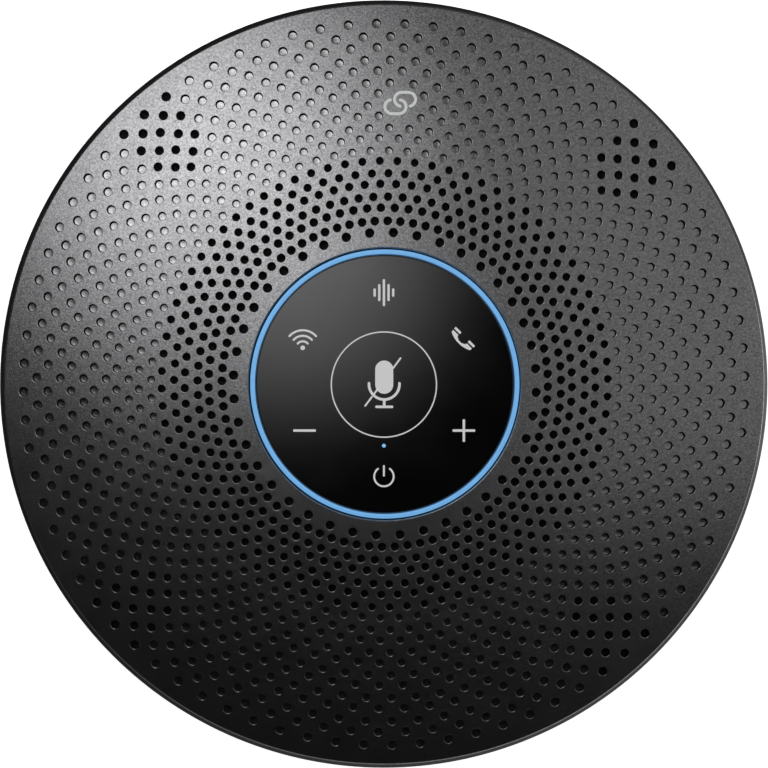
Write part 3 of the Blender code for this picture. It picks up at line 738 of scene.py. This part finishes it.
def pictogram_shape():
    """Two linked rings of a chain, printed on the grille in the space left between dimples."""
    x, y = polar(PICTOGRAM_R, PATTERN_TURN + 0.1)
    middle = Vector((x - 0.14, y + 0.06))
    offset = Vector((0.78, 0.6))

    def link(centre, gap_start, gap_end):
        """An open oval link: straight runs above and below, round ends, and one gap."""
        half, radius = 0.57, 1.14
        right = arc((centre.x + half, centre.y), radius, -90, 90, 15)
        left = arc((centre.x - half, centre.y), radius, 90, 270, 15)
        loop = right + left
        count = len(loop)
        return [loop[(gap_end + i) % count] for i in range((gap_start - gap_end) % count + 1)]

    links = [link(middle - offset, 13, 16), link(middle + offset, 28, 1)]
    return joined([prism(stroke(one, 0.48), under_dome(0.02), under_dome(-0.02)) for one in links])


def make_grille():
    skin = grille_skin()
    how = dict(slot="grille_paint", replaces=["top_grille"], smooth_deg=44, weighted=False)
    shell = add_piece("grille_shell", (skin.places, skin.faces), SLOTS["grille_paint"], **how)
    shade_as_dome(shell.data)
    floors = skin.floors, grille_paint("dimple_floor", 0.004, 0.16, 0.92)
    # The dimple walls take a near-black finish: painted shade that stands in for the shadow deep
    # in each dimple.
    painted_shade_walls = skin.painted_shade_walls, plain_finish("dimple_wall_painted_shade", (0.006, 0.006, 0.006), 0.9)
    for index, (faces, paint) in enumerate((floors, painted_shade_walls), 1):
        shell.data.materials.append(paint)
        for face in faces:
            shell.data.polygons[face].material_index = index
    # The pictogram's ink glows: painted light that brightens the print on the grille.
    ink = ink_with_painted_glow("grille_ink_painted_glow", (0.4, 0.41, 0.41), 0.85)
    add_piece("grille_pictogram", pictogram_shape(), ink)
    for number, turn in enumerate(MIC_TURNS, 1):
        inner = [polar(45.8, turn + step) for step in (-8, -4, 0, 4, 8)]
        outer = [polar(59.5, turn + step) for step in (8, 4, 0, -4, -8)]
        patch = prism(inner + outer, under_dome(1.9), under_dome(1.75))
        add_piece(f"mic_mesh_{number}", patch, SLOTS["acoustic_cloth"], slot="acoustic_cloth")


# ---------------------------------------------------------------- panel


def make_lens():
    profile = [(0, LENS_TOP), (LENS_R, LENS_TOP, 0.15), (LENS_R, 34.6, 0.1), (0, 34.6)]
    how = dict(slot="lens_gloss", replaces=["touch_lens"])
    add_piece("lens_glass", turned(filleted(profile)), SLOTS["lens_gloss"], **how)


def make_light_ring():
    inner, outer = GUIDE_R
    foot_r, foot_z, step_z = 19.6, 32.95, 34.25
    profile = [(inner, 36.0, 0.12), (outer, 36.0, 0.12), (outer, foot_z)]
    profile += [(foot_r, foot_z), (foot_r, step_z), (inner, step_z)]
    how = dict(slot="light_guide", replaces=["light_ring"])
    ring = add_piece("light_ring_guide", turned(filleted(profile)), SLOTS["light_guide"], **how)
    ring.data.materials.append(lit("light_guide_inside", GUIDE_BLUE, 0.1))
    for face in ring.data.polygons:
        if face.center.xy.length < (inner + 0.01) * MM:
            face.material_index = 1


def bar(x, y, width, height, fillet=0.06, steps=3):
    """Outline of a bar round its middle."""
    w, h = width / 2, height / 2
    corners = [(x - w, y - h), (x + w, y - h), (x + w, y + h), (x - w, y + h)]
    return filleted([(*corner, fillet) for corner in corners], steps)


def microphone_outlines():
    """A microphone on its stand, struck through. The stroke leaves gaps where it crosses it."""
    capsule = [(x, y + 1.0) for x, y in stadium(2.92, 5.38, 1.46, 16)]
    cradle = [(-2.47, 0.0), *arc((0, -0.15), 2.47, 180, 360, 41), (2.47, 0.0)]
    stem = [(-0.22, -3.62), (0.22, -3.62), (0.22, -2.8), (-0.22, -2.8)]
    start, end = Vector((-3.08, -3.65)), Vector((2.63, 4.06))
    base = bar(0, -3.81, 2.92, 0.42, 0.2, 5)
    outlines = [capsule, stroke(cradle, 0.43), base, stem]
    for part in ((0, 0.19), (0.235, 0.345), (0.795, 1)):
        outlines.append(stroke([start.lerp(end, share) for share in part], 0.29))
    return outlines


def handset_outlines(x, y):
    """A receiver lying along a falling diagonal, with a bar over each of its ends."""
    ear = [(0.85, -0.48, 0.1), (0.98, -0.19, 0.05), (2.16, -0.18, 0.12), (2.12, -0.6, 0.2)]
    back = [(1.65, -0.83, 0.3), (1.15, -0.98, 0.3), (0.5, -1.1, 0.3)]
    half = [(0.3, -0.76, 0.2)] + ear + back
    parts = [filleted(half + [(-u, v, fillet) for u, v, fillet in half[::-1]], 4)]
    for side in (-1, 1):
        corners = [(0.89, 0.08), (2.2, 0.08), (2.2, 0.47), (0.89, 0.47)]
        parts.append(filleted([(side * u, v, 0.08) for u, v in corners], 4))
    root = math.sqrt(2)
    return [[(x + (u + v) / root, y + (v - u) / root) for u, v in part] for part in parts]


def make_prints():
    # The icons' ink glows: painted light that brightens the print on the black lens.
    ink = ink_with_painted_glow("key_ink_painted_glow", (0.43, 0.427, 0.43), 0.9)

    def printed(name, outlines, material=ink, slot="lens_gloss"):
        placed = [[tuple(Vector(p) + PRINT_SHIFT) for p in outline] for outline in outlines]
        shapes = [prism(outline, PRINT_LOW, PRINT_TOP) for outline in placed]
        add_piece(name, joined(shapes), material, slot=slot)

    centre = Vector((-0.05, -0.2)) + PRINT_SHIFT
    sides = 160
    circle = stroke(arc(centre, 8.52, 0, 360 - 360 / sides, sides), 0.21, closed=True)
    mute_circle = raised_band(circle, PRINT_LOW, PRINT_TOP)
    add_piece("print_mute_circle", mute_circle, ink, slot="lens_gloss")
    printed("print_microphone", microphone_outlines())
    waves = [stroke(arc((-13.2, 5.7), r, 138, 42, 21), 0.33) for r in (1.1, 2.0, 2.9)]
    printed("print_wireless", [arc((-13.2, 5.75), 0.38, 0, 345, 24)] + waves)
    printed("print_handset", handset_outlines(12.83, 7.28))
    sound_bars = [(-1.55, 0.5), (-0.8, 1.2), (-0.05, 2.0), (0.7, 1.2), (1.45, 0.5)]
    lines = [stroke([(x, 14.7 - half), (x, 14.7 + half)], 0.38) for x, half in sound_bars]
    printed("print_sound_bars", lines)
    printed("print_minus", [bar(-KEY_REACH_X, LOW_KEY_Y, 3.65, 0.4)])
    arms = [bar(KEY_REACH_X, LOW_KEY_Y + side * 1.0125, 0.4, 1.625) for side in (-1, 1)]
    printed("print_plus", [bar(KEY_REACH_X, LOW_KEY_Y, 3.65, 0.4)] + arms)
    switch = stroke(arc((-0.05, -15.1), 1.58, 127, 413, 61), 0.3)
    printed("print_power", [switch, stroke([(-0.05, -14.95), (-0.05, -13.4)], 0.3)])
    lamp = lit("status_lamp", (0.18, 0.46, 0.8), 0.9)
    printed("status_lamp", [arc((-0.05, -10.1), 0.31, 0, 348, 30)], lamp, "light_guide")


def make_panel():
    make_lens()
    make_light_ring()
    make_prints()


# ---------------------------------------------------------------- lower housing


def bowl(inset, start, end, count):
    """The elliptical side of the bowl, from its top (0 degrees) to its base (90 degrees)."""
    reach_r, reach_z = OUTER_R - BASE_R - inset, BOWL_TOP_Z - UNDERSIDE_Z - inset
    angles = [math.radians(start + (end - start) * i / (count - 1)) for i in range(count)]
    return [(BASE_R + reach_r * math.cos(a), BOWL_TOP_Z - reach_z * math.sin(a)) for a in angles]


def lying(profile, x, z, sides=64):
    """A profile of (radius, y) points turned about a line along Y."""
    turn = Matrix.Translation((x, 0, z)) @ Matrix.Rotation(-math.pi / 2, 4, "X")
    return moved(turned(profile, sides), turn)


def port_pad():
    """The thicker wall that the ports come through, kept just inside the bowl's skin."""
    ends = (PORT_FACE_Y - 1.8, OUTER_R)
    pad = lofted([along_y(stadium(34, 12.2, 1.0), y, (0, POCKET_Z)) for y in ends])
    pad = make_object("port_pad", pad)
    core = [(0, 1.0)] + bowl(0.03, 90, 0, 25) + [(0, BOWL_TOP_Z)]
    carve(pad, turned(core), "INTERSECT")
    places = [tuple(vertex.co / MM) for vertex in pad.data.vertices]
    faces = [list(face.vertices) for face in pad.data.polygons]
    bpy.data.objects.remove(pad)
    return places, faces


def carve_ports(housing):
    """The pocket in the side, and the openings for both ports in its floor."""
    pocket = [
        along_y(stadium(29.0 + flare, 8.0 + flare, 3.9, 10), y, (0, POCKET_Z))
        for y, flare in ((PORT_FACE_Y, -0.3), (PORT_FACE_Y + 0.15, 0), (66, 0))
    ]
    carve(housing, lofted(pocket))
    inside_y, neck_y, mouth_y, outside_y = 53, PORT_FACE_Y - 0.2, PORT_FACE_Y + 0.2, 59
    usb = [
        along_y(stadium(9.6 + grow, 3.8 + grow, 1.89, 8), y, USB_PLACE)
        for y, grow in ((inside_y, 0), (neck_y, 0), (mouth_y, 0.4), (outside_y, 0.4))
    ]
    carve(housing, lofted(usb))
    jack = [(0, inside_y), (2.8, inside_y), (2.8, neck_y)]
    jack += [(3.2, mouth_y), (3.2, outside_y), (0, outside_y)]
    carve(housing, lying(jack, *JACK_PLACE))


def make_housing():
    lip = [(60.5, 27.2, 0.15), (61.8, 27.2, 0.12), (62.5, 26.5, 0.25)]
    foot = [(44.3, 0.8, 0.15), (44.3, 1.9, 0.1), (37.7, 1.9, 0.1), (37.7, 0.8, 0.15)]
    label = [(24.3, 0.8, 0.1), (24.3, 1.3), (0, 1.3)]
    profile = [(0, 2.8)] + bowl(2.0, 90, 0, 13) + lip + bowl(0, 0, 90, 25)[:-1] + foot + label
    housing = make_object("housing_bowl", turned(filleted(profile, 4)))
    boss = turned(filleted([(0, 2.0), (4.2, 2.0), (4.2, 12.0, 0.3), (0, 12.0)]), 40)
    for x, y in SCREW_PLACES:
        carve(housing, moved(boss, Matrix.Translation((x, y, 0))), "UNION")
    carve(housing, port_pad(), "UNION")
    sink = [(0, 0), (3.1, 0), (3.1, 0.7), (2.9, 1.0), (2.9, 4.4), (1.5, 4.4), (1.5, 14), (0, 14)]
    for x, y in SCREW_PLACES:
        carve(housing, moved(turned(sink, 48), Matrix.Translation((x, y, 0))))
    carve_ports(housing)
    how = dict(slot="housing_plastic", replaces=["lower_housing"], smooth_deg=30)
    finish_piece(housing, SLOTS["housing_plastic"], **how)


def make_usb_port(gold):
    """A rolled shell with a rounded lip, and a tongue with contacts on both of its sides."""
    x_middle, z_middle = USB_PLACE
    steps = [(49.6, 0), (56.8, 0), (56.88, -0.06), (56.9, -0.16)]
    steps += [(56.9, -0.44), (56.86, -0.54), (56.75, -0.6), (50.4, -0.6)]
    shell = [along_y(stadium(9.0 + grow, 3.2 + grow, 1.55, 9), y, USB_PLACE) for y, grow in steps]
    how = dict(slot="tin_plate", replaces=["usb_c_receptacle"])
    add_piece("usb_c_shell", lofted(shell), SLOTS["tin_plate"], **how)
    tongue = [
        along_y(stadium(6.7 - inset, 0.7 - inset, 0.15, 4), y, USB_PLACE)
        for y, inset in ((50.45, 0), (56.1, 0), (56.2, 0.12))
    ]
    add_piece("usb_c_tongue", lofted(tongue), SLOTS["chip_black"], slot="chip_black")
    contacts = []
    for i in range(12):
        x = x_middle + (i - 5.5) * 0.5
        for low, high in ((0.352, 0.4), (-0.4, -0.352)):
            lowest, highest = (x - 0.14, 51.2, z_middle + low), (x + 0.14, 55.7, z_middle + high)
            contacts.append(box(lowest, highest))
    add_piece("usb_c_contacts", joined(contacts), gold, slot="tin_plate")


def make_audio_jack(gold):
    """A moulded block with a round nose, a plated collar and a spring contact."""
    body = make_object("audio_jack_body", box((3.4, 44.0, 10.9), (9.6, 54.8, 14.9)))
    nose = [(0, 54.0), (2.5, 54.0), (2.5, 56.9, 0.15), (2.12, 56.9), (2.12, 56.3), (0, 56.3)]
    carve(body, lying(filleted(nose), *JACK_PLACE), "UNION")
    carve(body, lying([(0, 46.0), (1.75, 46.0), (1.75, 58), (0, 58)], *JACK_PLACE))
    how = dict(slot="frame_plastic", replaces=["audio_jack"], smooth_deg=40)
    finish_piece(body, SLOTS["frame_plastic"], **how)
    collar = [(1.78, 56.32), (2.1, 56.32), (2.1, 56.86, 0.08), (1.78, 56.86, 0.08)]
    collar = lying(filleted(collar), *JACK_PLACE)
    add_piece("audio_jack_collar", collar, SLOTS["tin_plate"], slot="tin_plate")
    spring = box((6.2, 47.5, 14.35), (6.8, 53.5, 14.55))
    add_piece("audio_jack_contact", spring, gold, slot="tin_plate")


def make_ports():
    gold = brushed_metal("contact_gold", (0.86, 0.6, 0.22), 0.25, ALONG_Y)
    make_usb_port(gold)
    make_audio_jack(gold)


def make_foot_ring():
    ribs = []
    for k in range(7):
        radius = 43.1 - k * 0.7
        ribs += [(radius, 0.0, 0.08), (radius - 0.3, 0.0, 0.08)]
        ribs += [(radius - 0.4, 0.18), (radius - 0.6, 0.18)]
    foot = [(44.0, 1.6, 0.2), (44.0, 0.0, 0.45)] + ribs + [(38.0, 0.0, 0.45), (38.0, 1.6, 0.2)]
    how = dict(slot="rubber", replaces=["foot_ring"], smooth_deg=50)
    add_piece("foot_ring_rubber", turned(filleted(foot, 4)), SLOTS["rubber"], **how)


def make_label():
    label = [(0, 1.0), (24.0, 1.0, 0.04), (24.0, 0.85, 0.04), (0, 0.85)]
    how = dict(slot="label_film", replaces=["rating_label"])
    add_piece("label_blank", turned(filleted(label)), SLOTS["label_film"], **how)
    edging = turned([(23.0, 0.849), (23.25, 0.849), (23.25, 0.83), (23.0, 0.83)])
    ink = ink_with_painted_glow("label_ink", (0.3, 0.3, 0.3), 0.0)
    add_piece("label_edging", edging, ink, slot="label_film")


def make_housing_screws():
    """Pan-head screws with a cross recess, each turned a little further than the last."""
    profile = [(0, 2.2), (1.6, 2.22), (2.2, 2.45), (2.5, 2.95), (2.5, 4.1, 0.06), (1.15, 4.1)]
    for k in range(26):
        z = 5.0 + 0.55 * k
        profile += [(0.9, z), (1.15, z + 0.2), (1.15, z + 0.28)]
    profile += [(0.9, 19.4), (0, 20.0)]
    wing = []
    for w, h, z in ((1.5, 0.26, 2.0), (0.9, 0.2, 3.3)):
        wing.append([(-w, -h, z), (w, -h, z), (w, h, z), (-w, h, z)])
    for number, (x, y) in enumerate(SCREW_PLACES, 1):
        screw = make_object(f"housing_screw_{number}_pan_head", turned(filleted(profile), 48))
        for turn in (0, 90):
            aim = Matrix.Rotation(math.radians(turn + 20 * number), 4, "Z")
            carve(screw, moved(lofted(wing), aim))
        screw.data.transform(Matrix.Translation(Vector((x, y, 0)) * MM))
        how = dict(slot="zinc_plate", replaces=[f"housing_screw_{number}"])
        finish_piece(screw, SLOTS["zinc_plate"], **how)


def make_underside():
    make_foot_ring()
    make_label()
    make_housing_screws()


# ---------------------------------------------------------------- loudspeaker


def suspension(name, middle, radii, thickness, joins, material, **how):
    """A turned flexible sheet, as thick as given round its middle line."""
    top = [(r, middle(r) + thickness / 2) for r in radii]
    bottom = [(r, middle(r) - thickness / 2) for r in reversed(radii)]
    sheet = add_piece(name, turned(top + bottom, 96), material, body=None, smooth_deg=60, **how)
    start, end = joins
    height = middle(start) * MM
    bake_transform(sheet)
    # The sheet is round, so each point's share goes by its own distance from the axis.
    for vertex in sheet.data.vertices:
        part = (vertex.co.xy.length / MM - start) / (end - start)
        part = min(max(part, 0.0), 1.0)


def make_suspensions():
    def surround(radius):
        part = min(max((radius - 18.9) / 3.1, 0), 1)
        return 24.75 + 1.5 * math.sin(math.pi * part)

    def spider(radius):
        part = min(max((radius - 8.0) / 7.0, 0), 1)
        fade = min(1.0, 8 * part, 8 * (1 - part))
        return 16.65 + 0.3 * fade * math.sin(math.pi * 7 * part)

    radii = [17.4, 18.0, 18.6] + [18.9 + 3.1 * i / 20 for i in range(21)] + [22.5, 23.2]
    how = dict(slot="rubber", replaces=["cone_surround"])
    suspension("surround_rubber", surround, radii, 0.3, (18.9, 22.0), SLOTS["rubber"], **how)
    radii = [6.9, 7.5] + [8.0 + 7.0 * i / 56 for i in range(57)] + [15.9, 16.8]
    how = dict(slot="spider_cloth", replaces=["spider"])
    suspension("spider_corrugated", spider, radii, 0.3, (8.0, 15.0), SLOTS["spider_cloth"], **how)


# ---------------------------------------------------------------- studio


def stage_material(name, colour, strength):
    """A plain matt finish that also glows a little, so that the floor stays pale."""
    material = bpy.data.materials.new(name)
    material.use_nodes = True
    shader = material.node_tree.nodes["Principled BSDF"]
    shader.inputs["Base Color"].default_value = rgb(colour)
    shader.inputs["Roughness"].default_value = 0.9
    shader.inputs["Specular IOR Level"].default_value = 0.0
    shader.inputs["Emission Color"].default_value = rgb(colour)
    shader.inputs["Emission Strength"].default_value = strength
    return material


def soft_disc(name, centre, radius, brightness):
    """A glowing disc that hangs flat over the object and fades out towards its edge."""
    circle = [(*polar(radius, 360 * i / 64), 0) for i in range(64)]
    disc = make_object(name, (circle, [range(64)]))
    centre = Vector(centre) * MM
    disc.data.transform(Matrix.Translation(centre))
    n = Finish(name)
    n.tree.nodes.remove(n.shader)
    offset = n.add("ShaderNodeVectorMath", {0: n.place, 1: centre}, operation="SUBTRACT")
    length = n.add("ShaderNodeVectorMath", {0: offset.outputs[0]}, operation="LENGTH")
    ends = {"From Max": radius * MM, "To Min": brightness, "To Max": 0}
    fade = n.add(
        "ShaderNodeMapRange",
        {"Value": length.outputs["Value"], **ends},
        interpolation_type="SMOOTHERSTEP",
    )
    glow = n.add("ShaderNodeEmission", {"Strength": fade.outputs["Result"]})
    clear = n.add("ShaderNodeBsdfTransparent")
    both = n.add("ShaderNodeAddShader", {0: glow.outputs[0], 1: clear.outputs[0]})
    n.put(n.tree.nodes["Material Output"].inputs["Surface"], both.outputs[0])
    disc.data.materials.append(n.material)
    disc.visible_camera = False
    disc.visible_shadow = False


def aimed(place, target):
    """Where a camera or light stands when it looks at a target with +Y upwards in its view."""
    back = (Vector(place) - Vector(target)).normalized()
    right = Vector((0, 1, 0)).cross(back).normalized()
    turn = Matrix((right, back.cross(right), back)).transposed()
    return Matrix.Translation(Vector(place) * MM) @ turn.to_4x4()


def area_light(name, place, size, power):
    """A soft rectangular light that looks at the middle of the unit."""
    data = bpy.data.lights.new(name, "AREA")
    data.shape = "RECTANGLE"
    data.size, data.size_y = (s * MM for s in size)
    data.energy = power
    light = bpy.data.objects.new(name, data)
    light.matrix_world = aimed(place, (0, 0, 30))
    bpy.context.scene.collection.objects.link(light)


def studio_world():
    """Dim above, with a soft band all round, and lighter below and to the right."""
    world = bpy.data.worlds.new("studio")
    n = Nodes(world, "Generated")
    height = n.add("ShaderNodeSeparateXYZ", {"Vector": n.place}).outputs["Z"]
    bright_side = {0: n.place, 1: (0.86, -0.5, 0)}
    towards = n.add("ShaderNodeVectorMath", bright_side, operation="DOT_PRODUCT").outputs["Value"]
    low_glow = n.spread(height, 0.0, 1.0, 0.5, -0.1)
    glow = n.maths("MULTIPLY", low_glow, n.spread(towards, 0.02, 1.15, -0.4, 1.0))
    band_top = n.spread(height, 0.0, 0.22, 0.62, 0.4)
    band = n.maths("MULTIPLY", n.spread(height, 0.0, 1.0, 0.05, 0.25), band_top)
    background = n.tree.nodes["Background"]
    n.put(background.inputs["Strength"], n.maths("ADD", n.maths("ADD", glow, band), 0.007))
    n.put(background.inputs["Color"], (1, 1, 1, 1))
    return world


def make_floor():
    half, top = 3000, -0.05
    corners = [(-half, -half), (half, -half), (half, half), (-half, half)]
    floor = make_object("floor", prism(corners, -5, top))
    floor.data.materials.append(stage_material("floor_white", (0.95, 0.95, 0.95), 1.0))
    floor.visible_glossy = False


def make_studio():
    make_floor()
    soft_disc("key_disc", (-95, 128, 396), 161, 4.35)
    soft_disc("panel_disc", (-14.5, 28.5, 390), 52, 2.8)
    area_light("right_card", (600, 0, 60), (120, 260), 0.45)
    area_light("right_top", (545, 276, 930), (900, 900), 1.5)
    bpy.context.scene.world = studio_world()


def make_camera():
    """A long lens straight above the unit, a touch to the left of its axis."""
    data = bpy.data.cameras.new("camera")
    data.lens = 500.8
    data.sensor_width = 36
    data.clip_end = 20
    camera = bpy.data.objects.new("camera", data)
    camera.matrix_world = aimed((-27, 0, 1766), (0, 0, 27))
    bpy.context.scene.collection.objects.link(camera)
    bpy.context.scene.camera = camera
    bpy.context.scene.view_settings.view_transform = "Standard"


for leftover in ("Cube", "Light", "Camera"):
    if leftover in bpy.data.objects:
        bpy.data.objects.remove(bpy.data.objects[leftover])
dress_cad_nodes()
make_grille()
make_panel()
make_housing()
make_ports()
make_underside()
make_suspensions()
make_studio()
make_camera()
